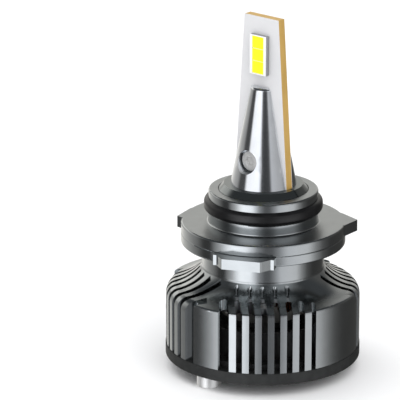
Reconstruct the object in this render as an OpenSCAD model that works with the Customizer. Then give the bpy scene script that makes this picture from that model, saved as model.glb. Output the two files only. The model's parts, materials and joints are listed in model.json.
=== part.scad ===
// Plug-in LED headlight bulb with a slotted, fan-cooled heat sink. All sizes in millimetres.
// +Z runs along the lamp axis towards the tip. z = 0 is the flange's seating face, the
// reference plane from which the light centre is measured.
// Angles around the axis count from the front (-Y) towards the left (-X).

/* [Collar] */
// Radius of the barrel that enters the lamp housing
barrel_r = 10; // [9.5:0.1:12]
// Radius of the flange disks
flange_r = 15; // [14.2:0.05:18]
// Height of the whole flange
flange_h = 4; // [3.4:0.1:6]
// Height of the upper flange disk
disk_h = 2.1; // [1.6:0.1:2.6]
// Height of the collar's lip above the seating face
lip_top = 6.1; // [5.9:0.05:7.2]
// Thickness of the lip above the seal
lip_h = 1.55; // [1.2:0.05:1.6]
// Height of the seal ring
seal_h = 2.45; // [1.8:0.05:2.7]
// How far the seal stands out from the barrel
seal_proud = 0.85; // [0.3:0.05:1.1]
// Depth of the seal's groove
groove_depth = 1; // [0.6:0.05:1.1]
// Width of the lower ring around its seat
ring_w = 2.6; // [2:0.05:2.8]
// Angle of the front tab around the axis
tab_angle = 19.5; // [-180:0.5:180]
// Width of the front tab at its face
tab_w = 7.4; // [5:0.1:9]
// How far the tab's face stands out from the flange
tab_out = 2.35; // [1.8:0.05:4]
// Offset of the tab from its own centre line
tab_offset = 0.4; // [-1:0.1:1]
// How far each side of the tab widens towards its root
tab_flare = 1.3; // [0.6:0.1:2]
// How far the right-hand lug's corner stands out from the flange
right_lug_out = 2.15; // [1:0.05:3]
// How far the left-hand lug's corner stands out from the flange
left_lug_out = 0.85; // [0.6:0.05:3]

/* [Heat sink] */
// Radius of the neck under the flange
neck_r = 11.1; // [10.6:0.1:12]
// Depth at which the neck meets the shoulder
neck_bottom = 8.5; // [8.2:0.1:9.5]
// Radius of the skirt
skirt_r = 17.75; // [17:0.05:21.5]
// Depth of the skirt's lower edge
skirt_bottom = 23.3; // [22.8:0.1:28]
// Radius of the shoulder's hollow
hollow_r = 9; // [8:0.1:12]
// Slope of the hollow where it leaves the neck, in degrees below level
hollow_start = 53; // [47:0.5:56]
// Rounding of the fins' outer edge in the side groups
rim_round = 2.2; // [1:0.1:2.6]
// Rounding of the outer edge between the side groups
panel_round = 0.5; // [0.3:0.1:1]
// Wall of the shoulder
shoulder_wall = 1.8; // [1.4:0.1:2.1]
// Wall of the skirt
skirt_wall = 2; // [1.6:0.1:2.1]
// Distance from one cooling slot to the next
slot_pitch = 2.27; // [2:0.01:2.4]
// Width of a cooling slot
slot_w = 1.08; // [0.8:0.02:1.2]
// Width of a front slot where it crosses the shoulder
narrow_slot_w = 0.56; // [0.4:0.02:0.7]
// Distance from the neck to the front slots' inner ends
slot_start = 0.8; // [0.7:0.05:1.1]
// Distance from the neck to the side slots' inner ends
side_slot_start = 0.4; // [0.3:0.05:1.1]
// Distance from the neck's lower end down to the front slots' full width
slot_step = 2.6; // [2.3:0.1:3.1]

/* [Lamp post] */
// Angle of the lamp board's front face around the axis
post_angle = 45; // [-180:1:180]
// Radius of the post's cone at its foot
cone_r = 6; // [5.7:0.05:6.4]
// Loss of the cone's radius for each millimetre upwards
cone_slope = 0.198; // [0.17:0.002:0.2]
// Gap between the post's top and the LED package
post_gap = 2.35; // [1.5:0.05:5]
// Rounding of the post's top edge
post_round = 0.7; // [0.4:0.1:1.2]
// Width of the collar's lip around the post's round foot
lip_w = 1.85; // [1.8:0.05:2.1]
// Height of the foot's top face
foot_top = 7.2; // [6.8:0.1:8]
// Radius of the plug that holds the post in the neck
plug_r = 5.5; // [5.2:0.1:5.7]
// Height of the clamp screw
clamp_screw_z = 12.1; // [11:0.1:14]
// Radius of the clamp screw's head
clamp_head_r = 1.9; // [1.6:0.05:2.1]
// Distance from the axis to the face of the clamp screw's head
clamp_face = 3.95; // [3.7:0.05:4.2]

/* [LED board] */
// Height of the light centre above the seating face
light_centre = 31.5; // [30.5:0.1:33]
// Height of the board's top edge
board_top = 38.35; // [37:0.05:46]
// Width of the board at its top edge
board_top_w = 7.9; // [6.6:0.1:8.2]
// Widening of each side of the board for each millimetre downwards
board_flare = 0.0685; // [0.04:0.0005:0.07]
// Thickness of the whole board
board_t = 1.7; // [1.3:0.05:2.1]
// Thickness of the white layer on each face
mask_t = 0.07; // [0.05:0.01:0.15]
// Width of an LED package
led_w = 3.8; // [3.2:0.1:4.5]
// Height of an LED package
led_h = 7.3; // [7.1:0.1:8.6]
// Thickness of an LED package
led_t = 1; // [0.7:0.05:1.3]
// White border of an LED package at each side of its emitters
led_side = 0.625; // [0.4:0.025:0.9]
// White border of an LED package above and below its emitters
led_end = 0.25; // [0.15:0.05:0.6]

/* [Rear cover and fan] */
// How far the cover's edge stands out from the skirt
cover_proud = 0.1; // [0:0.05:0.3]
// Thickness of the rear cover
cover_h = 2.2; // [1.8:0.1:3]
// Width of the rear cover's ring around its air opening
cover_ring_w = 5.15; // [4.95:0.05:5.65]
// Distance from the skirt's outside to each cover screw
cover_screw_inset = 2.65; // [2.5:0.05:2.75]
// Angle of the first cover screw around the axis
cover_screw_angle = 45; // [42:1:46]
// Radius of a cover screw's head
cover_head_r = 2.15; // [1.9:0.05:2.3]
// How far a cover screw's head stands out
cover_head_proud = 2.3; // [1.5:0.1:3]
// Radius of the fan's hub
fan_hub_r = 8.1; // [7.9:0.05:9.8]
// Number of fan blades
blade_count = 7; // [5:1:9]
// Pitch of the fan blades, from flat
blade_pitch = 38; // [30:1:45]

/* [Driver and cord outlet] */
// How far the driver board's edge stays inside the neck's radius
driver_inset = 0.5; // [0.3:0.05:0.7]
// Thickness of the driver board
driver_t = 1; // [0.8:0.1:1.2]
// Radius of the cord outlet's bore
cord_r = 1.9; // [1.6:0.05:2.1]
// Angle of the cord outlet around the axis
cord_angle = 121; // [119:1:123]

/* [Hidden] */
$fn = 96;

// Clearances
seat_gap = 0.02;     // between pieces pressed or glued together
running_gap = 0.05;  // between the collar and the spindle that it turns on
loose_gap = 0.1;     // between pieces that pass each other
over = 1;            // how far a cutting shape runs past what it cuts

// Collar
collar_float = 0.1;
foot_bottom = 4.9;
foot_seat = foot_bottom - collar_float;
groove_top = lip_top - lip_h;
groove_bottom = groove_top - seal_h;
groove_r = barrel_r - groove_depth;
spindle_r = 7.2;
collar_bore = spindle_r + running_gap;
foot_r = barrel_r - lip_w;
foot_bore = foot_r + loose_gap;
edge_round = 0.35;
hub_r = flange_r - ring_w;
tab_reach = flange_r + tab_out;
tab_chamfer = 0.35;
tab_ledge = 0.6;
seam_round = 0.15;
lug_overlap = 0.05;
// Each lug's root, corner and run-out angles around the collar
right_lug = [-93, -105.9, -122];
left_lug = [79.9, 82.8, 103.2];
set_screw_r = 1.25;
set_screw_play = 0.15;
set_screw_hex = 1.3;
set_screw_hex_h = 1.4;
set_screw_l = 5;
set_screw_z = -flange_h / 2;
set_screw_tip = collar_bore + loose_gap;

// Heat sink
neck_top = -flange_h - running_gap;
plug_bottom = -7;
plug_bore = plug_r + seat_gap;
plug_floor = plug_bottom - 0.2;
wire_hole_r = 2.2;
skirt_in_r = skirt_r - skirt_wall;
slot_step_z = neck_bottom + slot_step;
slot_end_d = 0.9 * slot_w;
neck_fillet = 0.8;
slot_top = neck_bottom - neck_fillet;
// The shoulder's section is an arc of a circle that lies outside the metal
hollow_x = neck_r + hollow_r * sin(hollow_start);
hollow_z = -neck_bottom + hollow_r * cos(hollow_start);
// Height at radius r of a circle round the hollow's centre
function arc_z(r, arc_r) = hollow_z - sqrt(arc_r ^ 2 - (hollow_x - r) ^ 2);
ceiling_h = 2.1;
ceiling_z = -neck_bottom - ceiling_h;
// Wider slots, as their limits across their group and the distance at which they start
front_wide = [-9.05, -7.44];
front_wide_start = neck_r + 1.3;
side_wide = [9.7, 11.5];
// The stretch of rim that is fully rounded, across a side group
side_rim = [-3.5 * slot_pitch - slot_w / 4, 10.6];
// Chamfer along the upright edge of the front panel
panel_chamfer = 0.45;
side_wide_start = neck_r - 0.1;
last_front = [7.44, 8.28];
last_front_start = neck_r + 2.3;
third_front_start = neck_r + 2.6;
boss_r = 2.1;
cover_screw_ring = skirt_r - cover_screw_inset;
boss_top = arc_z(cover_screw_ring, hollow_r + shoulder_wall / 2);
thread_r = 1.25;
frame_flange_h = 1;
ledge_angle = 144;
ledge_w = 3;
ledge_gap = 0.3;

// Lamp post
split_gap = 0.1;
arc_reach = 1.002;
half_t = board_t / 2;
post_top = light_centre - led_h / 2 - post_gap;
tail_w = 9;
tail_bottom = plug_bottom + 0.5;
foot_bevel = 0.95;
foot_rim = lip_top;
clamp_head_h = 1.2;
clamp_hex = 1.5;
clamp_hex_h = 0.7;
clamp_thread_r = 1;
clamp_pocket_r = clamp_head_r + 0.25;
clamp_tip = -3;
relief_top = -4.5;
wire_r = 0.35;
wire_x = 1.2;
wire_top = -5.5;

// LED board
core_t = board_t - 2 * mask_t;
emitter_gap = 0.1;
emitter_count = 3;
emitter_t = 0.25;
emitter_w = led_w - 2 * led_side;
emitter_h = (led_h - 2 * led_end - (emitter_count - 1) * emitter_gap) / emitter_count;

// Rear cover and fan
cover_top = -skirt_bottom;
cover_r = skirt_r + cover_proud;
opening_r = skirt_r - cover_ring_w;
cover_bottom = cover_top - cover_h;
head_recess = 0.7;
cover_head_h = head_recess + cover_head_proud;
cover_head_top = cover_bottom + head_recess;
cover_shank_l = 9;
cover_hex = 2;
cover_hex_h = 1.3;
head_gap = 0.25;
frame_in_r = opening_r - 0.2;
frame_out_r = frame_in_r + 0.6;
frame_top = cover_top + 6;
frame_plate_h = 1;
frame_plate_z = frame_top - frame_plate_h;
frame_plate_r = fan_hub_r - 0.5;
spoke_w = 2.2;
spoke_count = 3;
tip_r = frame_in_r - 0.3;
hub_bottom = cover_bottom + 0.7;
hub_wall = 0.8;
hub_top = frame_plate_z - 0.3;
cup_t = 0.5;
cup_bottom = hub_bottom + 1;
cup_r = fan_hub_r - hub_wall - seat_gap;
cup_top = hub_top - 0.3;
magnet_t = 1.2;
magnet_r = cup_r - cup_t - seat_gap;
magnet_bottom = cup_bottom + cup_t + 0.05;
magnet_top = frame_plate_z - 1;
air_gap = 0.35;
stator_r = magnet_r - magnet_t - air_gap;
stator_h = 2;
stator_z = cup_bottom + 1.6;
coil_t = 0.8;
pole_count = 4;
pole_w = 1.4;
bearing_boss_r = 2;
core_hub_r = bearing_boss_r + 0.5;
shoe_t = 0.75;
shoe_angle = 38;
sleeve_r = 1.5;
shaft_r = 0.75;
shaft_gap = 0.03;
sleeve_bottom = cup_bottom + 0.9;
sleeve_top = frame_plate_z - 0.2;
fan_board_z = frame_plate_z - 0.8;
fan_board_t = 0.7;
fan_board_r = magnet_r - 0.4;
fan_wire_y = 4.5;
fan_wire_x = 0.6;
fan_wire_hole_r = 1.4;

// Driver
standoff_h = 0.8;
standoff_r = 1.9;
driver_r = neck_r - driver_inset;
driver_top = ceiling_z - standoff_h;
driver_bottom = driver_top - driver_t;
board_screw_ring = driver_r - 2;
board_screw_r = 0.97;
board_screw_head_r = 1.6;
board_screw_head_h = 1.1;
board_screw_up = 1.6;
cross_l = 1.8;
cross_w = 0.4;
cross_h = 0.5;
inductor_at = [5.6, -3.2];
capacitor_at = [[-5.7, -3.4], [-1.1, -4.6]];
capacitor_r = 2.15;
capacitor_h = 3.8;
mosfet_at = [[-3.4, 6.4], [3, 6.6]];
mosfet_size = [3.2, 2.6, 1.1];
controller_at = [-0.6, 0.2];
controller_size = [4, 4, 0.9];

// Cord outlet
cord_z = 4.7 - skirt_bottom;
grommet_neck_r = cord_r + 0.9;
grommet_flange_r = cord_r + 1.7;
grommet_flange_h = 1.2;
grommet_lip_h = 0.9;
grommet_seat = skirt_r - 0.75;
grommet_inner = skirt_in_r - 0.6;
grommet_end = grommet_inner - grommet_lip_h;
spot_l = 3;

// Turns a piece built at the front to its angle around the axis
module at_angle(a) rotate([0, 0, -a]) children();

// What a rounded corner takes away, or a fillet adds: p is the sharp corner, and d1 and d2
// are the directions of its two edges. With a reach over 1 the arc crosses the edges and
// doesn't only touch them
module corner_piece(p, d1, d2, r, reach = 1) {
    e1 = d1 / norm(d1);
    e2 = d2 / norm(d2);
    half = acos(e1 * e2) / 2;
    mid = (e1 + e2) / norm(e1 + e2);
    c = p + mid * r / sin(half);
    difference() {
        polygon([p - mid * 0.05, p + e1 * r / tan(half), c, p + e2 * r / tan(half)]);
        translate(c) circle(r * reach);
    }
}

// Hexagon by its width across flats
module hexagon(flats) circle(flats / sqrt(3), $fn = 6);

module tube(outer, inner, h) {
    difference() {
        cylinder(r = outer, h = h);
        translate([0, 0, -over]) cylinder(r = inner, h = h + 2 * over);
    }
}

// ---- Collar -----------------------------------------------------------------------------

// Plan of one lug from its three angles; out is how far its corner stands out from the flange
module lug(angles, out) {
    function at(a, r) = [-r * sin(a), -r * cos(a)];
    foot = flange_r - lug_overlap;
    polygon([
        at(angles[0], foot), at(angles[1], flange_r + out), at(angles[2], foot), at(angles[1], flange_r - 2)
    ]);
}

module set_screw_hole(r) {
    translate([0, 0, set_screw_z]) rotate([-90, 0, 0])
        cylinder(r = r, h = flange_r + over, $fn = 32);
}

module collar_flange() {
    color("#6f7476") at_angle(tab_angle) difference() {
        union() {
            rotate_extrude() difference() {
                union() {
                    polygon([
                        [collar_bore, -flange_h], [hub_r, -flange_h], [hub_r, -disk_h],
                        [flange_r, -disk_h], [flange_r, 0], [barrel_r, 0],
                        [barrel_r, groove_bottom], [groove_r, groove_bottom],
                        [groove_r, groove_top], [barrel_r, groove_top],
                        [barrel_r, lip_top], [foot_bore, lip_top],
                        [foot_bore, foot_seat], [collar_bore, foot_seat]
                    ]);
                    corner_piece([barrel_r, 0], [1, 0], [0, 1], edge_round);
                }
                corner_piece([flange_r, 0], [-1, 0], [0, -1], edge_round);
                corner_piece([flange_r, -disk_h], [-1, 0], [0, 1], seam_round);
                corner_piece([barrel_r, lip_top], [-1, 0], [0, -1], edge_round);
                corner_piece([barrel_r, groove_bottom], [-1, 0], [0, -1], edge_round / 2);
            }
            translate([0, 0, -disk_h]) linear_extrude(disk_h) {
                lug(right_lug, right_lug_out);
                lug(left_lug, left_lug_out);
            }
        }
        set_screw_hole(set_screw_r + seat_gap);
    }
}

module base_ring() {
    face_l = -tab_w / 2 + tab_offset;
    face_r = tab_w / 2 + tab_offset;
    side_y = -tab_reach + tab_chamfer;
    root_y = -flange_r - 0.45;
    inner_y = -flange_r + 1.6;
    color("#6a6f71") at_angle(tab_angle) difference() {
        union() {
            rotate_extrude() difference() {
                polygon([
                    [hub_r + seat_gap, -flange_h], [flange_r, -flange_h],
                    [flange_r, -disk_h], [hub_r + seat_gap, -disk_h]
                ]);
                corner_piece([flange_r, -flange_h], [-1, 0], [0, 1], edge_round);
                corner_piece([flange_r, -disk_h], [-1, 0], [0, -1], seam_round);
            }
            translate([0, 0, -flange_h]) linear_extrude(flange_h - disk_h) polygon([
                [face_l - tab_flare - tab_ledge, inner_y], [face_l - tab_flare - tab_ledge, root_y],
                [face_l - tab_flare, root_y], [face_l - tab_chamfer / 3, side_y],
                [face_l + tab_chamfer / 2, -tab_reach], [face_r - tab_chamfer / 2, -tab_reach],
                [face_r + tab_chamfer / 3, side_y], [face_r + tab_flare, root_y],
                [face_r + tab_flare + tab_ledge, root_y], [face_r + tab_flare + tab_ledge, inner_y]
            ]);
        }
        set_screw_hole(set_screw_r + set_screw_play);
    }
}

module o_ring() {
    w = groove_depth + seal_proud - 2 * seat_gap;
    h = seal_h - 2 * seat_gap;
    r = 0.49 * min(w, h);
    color("#1c1c1e") rotate_extrude()
        translate([groove_r + seat_gap + w / 2, groove_bottom + seal_h / 2]) {
            for (sx = [-1, 1], sy = [-1, 1])
                translate([sx * (w / 2 - r), sy * (h / 2 - r)]) circle(r, $fn = 48);
            square([w, h - 2 * r], center = true);
            square([w - 2 * r, h], center = true);
        }
}

module collar_set_screw() {
    color("#2c2c2e") at_angle(tab_angle) translate([0, set_screw_tip, set_screw_z]) rotate([-90, 0, 0])
        difference() {
            cylinder(r = set_screw_r, h = set_screw_l, $fn = 32);
            translate([0, 0, set_screw_l - set_screw_hex_h]) linear_extrude(set_screw_hex_h + over)
                hexagon(set_screw_hex);
        }
}

// ---- Heat sink --------------------------------------------------------------------------

// A slot across the wall of a group that faces -Y, from lim[0] to lim[1], starting at the
// distance start from the axis, with a round inner end if round_end is true
module slot(lim, start, top = 0, round_end = false) {
    w = lim[1] - lim[0];
    low = -skirt_bottom - over;
    translate([lim[0], -skirt_r - over, low]) cube([w, skirt_r + over - start, -top - low]);
    if (round_end) translate([(lim[0] + lim[1]) / 2, -start, low])
        cylinder(d = w, h = -top - low, $fn = 24);
}

function slot_x(k) = (k + 0.5) * slot_pitch;
function slot_limits(k, w) = [slot_x(k) - w / 2, slot_x(k) + w / 2];
function start_at(k, gap) = sqrt((neck_r + gap) ^ 2 - slot_x(k) ^ 2);

// The front group: narrow over the shoulder with a drop-shaped end, full width on the skirt
module front_slots() {
    for (k = [-3:1]) {
        start = start_at(k, slot_start);
        slot(slot_limits(k, slot_w), start, slot_step_z);
        slot(slot_limits(k, narrow_slot_w), start, slot_top);
        translate([slot_x(k), -start, -slot_step_z])
            cylinder(d = slot_end_d, h = slot_step_z - slot_top, $fn = 24);
    }
    slot(slot_limits(2, slot_w), third_front_start, neck_bottom, true);
    slot(last_front, last_front_start, neck_bottom, true);
    slot(front_wide, front_wide_start, neck_bottom, true);
    panel_edge = [front_wide[0], -sqrt(skirt_r ^ 2 - front_wide[0] ^ 2), -skirt_bottom - over];
    translate(panel_edge) rotate([0, 0, 45 - atan(front_wide[0] / panel_edge[1]) / 2])
        linear_extrude(skirt_bottom) square(panel_chamfer * sqrt(2), center = true);
}

// The side group: full width from the neck to the skirt's lower edge
module side_slots() {
    for (k = [-3:3]) slot(slot_limits(k, slot_w), start_at(k, side_slot_start), slot_top);
    slot(side_wide, side_wide_start, neck_bottom);
}

// What a rounding of radius r takes off the outer edge, between the hollow and the skirt
module rim_piece(r) {
    x = skirt_r - r;
    z = hollow_z - sqrt((hollow_r + r) ^ 2 - (hollow_x - x) ^ 2);
    share = hollow_r / (hollow_r + r);
    meet = [hollow_x + (x - hollow_x) * share, hollow_z + (z - hollow_z) * share];
    difference() {
        polygon([
            [x, z], meet, [meet[0], -neck_bottom], [skirt_r + over, -neck_bottom], [skirt_r + over, z]
        ]);
        translate([x, z]) circle(r);
    }
}

module heat_sink_shell() {
    rotate_extrude() difference() {
        union() {
            difference() {
                polygon([
                    [plug_bore, foot_bottom], [spindle_r, foot_bottom], [spindle_r, neck_top],
                    [neck_r, neck_top], [neck_r, -neck_bottom], [skirt_r, -neck_bottom],
                    [skirt_r, -skirt_bottom], [wire_hole_r, -skirt_bottom],
                    [wire_hole_r, plug_floor], [plug_bore, plug_floor]
                ]);
                intersection() {
                    translate([hollow_x, hollow_z]) circle(hollow_r);
                    translate([neck_r, -skirt_bottom]) square([skirt_r, skirt_bottom - neck_bottom]);
                }
                difference() {
                    translate([0, -skirt_bottom - over])
                        square([skirt_in_r, skirt_bottom + over + ceiling_z]);
                    translate([hollow_x, hollow_z]) circle(hollow_r + shoulder_wall);
                }
            }
            corner_piece(
                [neck_r, -neck_bottom], [0, 1], [cos(hollow_start), -sin(hollow_start)], neck_fillet
            );
        }
        rim_piece(panel_round);
        corner_piece([neck_r, neck_top], [0, -1], [-1, 0], edge_round / 2);
    }
}

// Takes the full rounding off the fins of the group that faces -X
module side_rim_cut() {
    intersection() {
        rotate_extrude() rim_piece(rim_round);
        at_angle(90) translate([side_rim[0], -skirt_r - over, -skirt_bottom])
            cube([side_rim[1] - side_rim[0], skirt_r + over, skirt_bottom]);
    }
}

module board_screw_places() {
    for (a = [0:2]) at_angle(120 * a) translate([0, -board_screw_ring]) children();
}

module cover_screw_places() {
    for (s = [0, 180]) at_angle(cover_screw_angle + s) translate([0, -cover_screw_ring]) children();
}

module heat_sink() {
    color("#5d6264") difference() {
        union() {
            difference() {
                difference() {
                    heat_sink_shell();
                    for (turn = [0, 180]) rotate([0, 0, turn]) side_rim_cut();
                }
                for (turn = [0, 180]) rotate([0, 0, turn]) {
                    front_slots();
                    at_angle(90) side_slots();
                }
            }
            intersection() {
                cover_screw_places() translate([0, 0, -skirt_bottom])
                    cylinder(r = boss_r, h = boss_top + skirt_bottom, $fn = 48);
                translate([0, 0, -skirt_bottom]) cylinder(r = skirt_r - 0.2, h = skirt_bottom);
            }
            for (s = [0, 180]) at_angle(ledge_angle + s)
                translate([-ledge_w / 2, -skirt_r + skirt_wall / 2, cover_top + frame_flange_h]) cube([
                    ledge_w, skirt_r - skirt_wall / 2 - frame_out_r - ledge_gap,
                    arc_z(skirt_in_r, hollow_r + shoulder_wall) - cover_top - frame_flange_h
                ]);
            board_screw_places() translate([0, 0, driver_top])
                cylinder(r = standoff_r, h = standoff_h + over / 2, $fn = 32);
        }
        cover_screw_places() translate([0, 0, -skirt_bottom - over])
            cylinder(r = thread_r + seat_gap, h = cover_shank_l - head_recess + over, $fn = 32);
        board_screw_places() translate([0, 0, driver_top - over])
            cylinder(r = board_screw_r + seat_gap, h = standoff_h + board_screw_up + over, $fn = 24);
        at_angle(cord_angle) translate([0, 0, cord_z]) rotate([90, 0, 0]) {
            cylinder(r = grommet_neck_r + seat_gap, h = skirt_r + over);
            for (z = [grommet_seat, grommet_inner - spot_l]) translate([0, 0, z])
                cylinder(r = grommet_flange_r + loose_gap, h = spot_l);
        }
    }
}

module cable_grommet() {
    color("#202022") at_angle(cord_angle) translate([0, 0, cord_z]) rotate([90, 0, 0]) difference() {
        union() {
            translate([0, 0, grommet_end]) cylinder(r = grommet_flange_r, h = grommet_lip_h);
            translate([0, 0, grommet_end]) cylinder(r = grommet_neck_r, h = grommet_seat - grommet_end);
            translate([0, 0, grommet_seat]) cylinder(r = grommet_flange_r, h = grommet_flange_h);
        }
        translate([0, 0, grommet_end - over]) cylinder(r = cord_r, h = skirt_r);
    }
}

// ---- Lamp post --------------------------------------------------------------------------

function board_half_w(z) = board_top_w / 2 + board_flare * (board_top - z);

module board_outline(gap = 0) {
    top = board_half_w(board_top) + gap;
    foot = board_half_w(foot_bottom) + gap;
    tail = tail_w / 2 + gap;
    polygon([
        [-top, board_top], [top, board_top], [foot, foot_bottom], [tail, foot_bottom],
        [tail, tail_bottom - gap], [-tail, tail_bottom - gap], [-tail, foot_bottom], [-foot, foot_bottom]
    ]);
}

// Extrudes an outline drawn across the post, from distance y0 to y1 in front of the axis
module across(y0, y1) translate([0, -y0, 0]) rotate([90, 0, 0]) linear_extrude(y1 - y0) children();

module post_profile() {
    cone_top_r = cone_r - cone_slope * (post_top - foot_top);
    difference() {
        polygon([
            [0, plug_bottom], [plug_r, plug_bottom], [plug_r, foot_bottom], [foot_r, foot_bottom],
            [foot_r, foot_rim], [foot_r - foot_bevel, foot_top], [cone_r, foot_top],
            [cone_top_r, post_top], [0, post_top]
        ]);
        corner_piece([cone_top_r, post_top], [-1, 0], [cone_slope, -1], post_round, arc_reach);
    }
}

// One half of the post, in front of the board
module clamp_half() {
    difference() {
        rotate_extrude() post_profile();
        translate([-foot_r - over, -split_gap, plug_bottom - over])
            cube([2 * (foot_r + over), foot_r + over, post_top - plug_bottom + 2 * over]);
        across(-over, half_t + seat_gap) board_outline(loose_gap);
        across(-over, 2 * half_t + wire_r) translate([-wire_x - 0.6, plug_bottom - over])
            square([2 * wire_x + 1.2, relief_top - plug_bottom + over]);
    }
}

module clamp_half_front() {
    color("#c8ccd0") at_angle(post_angle) difference() {
        clamp_half();
        translate([0, 0, clamp_screw_z]) rotate([90, 0, 0]) {
            cylinder(r = clamp_thread_r + loose_gap, h = foot_r, $fn = 32);
            translate([0, 0, clamp_face - clamp_head_h]) cylinder(r = clamp_pocket_r, h = foot_r);
        }
    }
}

module clamp_half_rear() {
    color("#c4c8cc") at_angle(post_angle) difference() {
        rotate([0, 0, 180]) clamp_half();
        translate([0, 0, clamp_screw_z]) rotate([-90, 0, 0])
            cylinder(r = clamp_thread_r + seat_gap, h = -clamp_tip + 0.3, $fn = 32);
    }
}

module clamp_screw() {
    color("#b9bcc0") at_angle(post_angle) translate([0, -clamp_face, clamp_screw_z]) rotate([-90, 0, 0])
        difference() {
            union() {
                rotate_extrude() difference() {
                    square([clamp_head_r, clamp_head_h]);
                    corner_piece([clamp_head_r, 0], [-1, 0], [0, 1], 0.25);
                }
                cylinder(r = clamp_thread_r, h = clamp_face - clamp_tip, $fn = 32);
            }
            translate([0, 0, -over]) linear_extrude(over + clamp_hex_h) hexagon(clamp_hex);
        }
}

module board_core() {
    color("#cda75c") at_angle(post_angle) difference() {
        across(-core_t / 2, core_t / 2) board_outline();
        translate([0, core_t, clamp_screw_z]) rotate([90, 0, 0])
            cylinder(r = clamp_thread_r + loose_gap, h = 2 * core_t, $fn = 32);
    }
}

// The white layer ends at the foot, so the tail between the plug halves stays bare
module board_mask() {
    color("#eceef0") difference() {
        across(core_t / 2, half_t) intersection() {
            board_outline();
            translate([-foot_r, foot_bottom]) square([2 * foot_r, board_top]);
        }
        translate([0, 0, clamp_screw_z]) rotate([90, 0, 0])
            cylinder(r = clamp_thread_r + loose_gap, h = board_t, $fn = 32);
    }
}

module board_mask_front() at_angle(post_angle) board_mask();
module board_mask_rear() at_angle(post_angle + 180) board_mask();

module emitters(gap) {
    step = emitter_h + emitter_gap;
    low = light_centre - (emitter_count * step - emitter_gap) / 2;
    for (i = [0:emitter_count - 1])
        translate([-emitter_w / 2 - gap, low + i * step - gap])
            square([emitter_w + 2 * gap, emitter_h + 2 * gap]);
}

module led_package() {
    color("#f4f5f6") difference() {
        across(half_t, half_t + led_t)
            translate([-led_w / 2, light_centre - led_h / 2]) square([led_w, led_h]);
        across(half_t + led_t - emitter_t, half_t + led_t + over) emitters(seat_gap);
    }
}

module led_phosphors() color("#ffff2e") across(half_t + led_t - emitter_t, half_t + led_t) emitters(0);

module led_package_front() at_angle(post_angle) led_package();
module led_package_rear() at_angle(post_angle + 180) led_package();
module led_phosphors_front() at_angle(post_angle) led_phosphors();
module led_phosphors_rear() at_angle(post_angle + 180) led_phosphors();

// Four supply wires, soldered to the board's tail and to the driver board
module lead_wires() {
    y = core_t / 2 + wire_r;
    color("#b02020") at_angle(post_angle) for (sx = [-1, 1], sy = [-1, 1])
        translate([sx * wire_x, sy * y, driver_top])
            cylinder(r = wire_r, h = wire_top - driver_top, $fn = 24);
}

// ---- Rear cover -------------------------------------------------------------------------

module rear_cover() {
    color("#343434") difference() {
        rotate_extrude() difference() {
            translate([opening_r, cover_bottom]) square([cover_r - opening_r, cover_h]);
            corner_piece([cover_r, cover_bottom], [-1, 0], [0, 1], edge_round);
            corner_piece([opening_r, cover_bottom], [1, 0], [0, 1], edge_round);
        }
        cover_screw_places() {
            translate([0, 0, cover_bottom - over])
                cylinder(r = thread_r + loose_gap, h = cover_h + 2 * over, $fn = 32);
            translate([0, 0, cover_bottom - over])
                cylinder(r = cover_head_r + head_gap, h = head_recess + over, $fn = 48);
        }
    }
}

module cover_screws() {
    color("#b4b6b8") cover_screw_places() translate([0, 0, cover_head_top - cover_head_h]) difference() {
        union() {
            rotate_extrude() difference() {
                square([cover_head_r, cover_head_h]);
                corner_piece([cover_head_r, 0], [-1, 0], [0, 1], 0.3);
            }
            cylinder(r = thread_r, h = cover_head_h + cover_shank_l, $fn = 32);
        }
        translate([0, 0, -over]) linear_extrude(over + cover_hex_h) hexagon(cover_hex);
    }
}

// ---- Fan --------------------------------------------------------------------------------

module fan_frame() {
    color("#2a2a2c") difference() {
        union() {
            translate([0, 0, cover_top]) tube(skirt_in_r - 0.25, frame_in_r, frame_flange_h);
            translate([0, 0, cover_top]) tube(frame_out_r, frame_in_r, frame_top - cover_top);
            translate([0, 0, frame_plate_z]) cylinder(r = frame_plate_r, h = frame_plate_h);
            for (i = [0:spoke_count - 1]) at_angle(360 * i / spoke_count)
                translate([-spoke_w / 2, -frame_in_r - 0.3, frame_plate_z])
                    cube([spoke_w, frame_in_r + 0.3, frame_plate_h]);
            translate([0, 0, sleeve_bottom])
                cylinder(r = bearing_boss_r, h = frame_top - sleeve_bottom, $fn = 48);
        }
        cover_screw_places() translate([0, 0, cover_top - over]) cylinder(r = boss_r + 0.15, h = 9, $fn = 48);
        translate([0, 0, sleeve_bottom - over])
            cylinder(r = sleeve_r + seat_gap, h = sleeve_top - sleeve_bottom + over, $fn = 48);
        translate([0, fan_wire_y, frame_plate_z - over])
            cylinder(r = fan_wire_hole_r, h = frame_plate_h + 2 * over, $fn = 32);
    }
}

module bearing_sleeve() {
    color("#b08d57") translate([0, 0, sleeve_bottom])
        tube(sleeve_r, shaft_r + shaft_gap, sleeve_top - sleeve_bottom);
}

module stator_core() {
    edge = 2 * stator_r * [cos(shoe_angle), sin(shoe_angle)];
    color("#8a8f94") translate([0, 0, stator_z]) linear_extrude(stator_h) difference() {
        union() {
            circle(core_hub_r);
            for (i = [0:pole_count - 1]) rotate(i * 360 / pole_count) {
                translate([0, -pole_w / 2]) square([stator_r - shoe_t / 2, pole_w]);
                intersection() {
                    difference() {
                        circle(stator_r);
                        circle(stator_r - shoe_t);
                    }
                    polygon([[0, 0], edge, [3 * stator_r, 0], [edge[0], -edge[1]]]);
                }
            }
        }
        circle(bearing_boss_r + seat_gap);
    }
}

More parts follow.
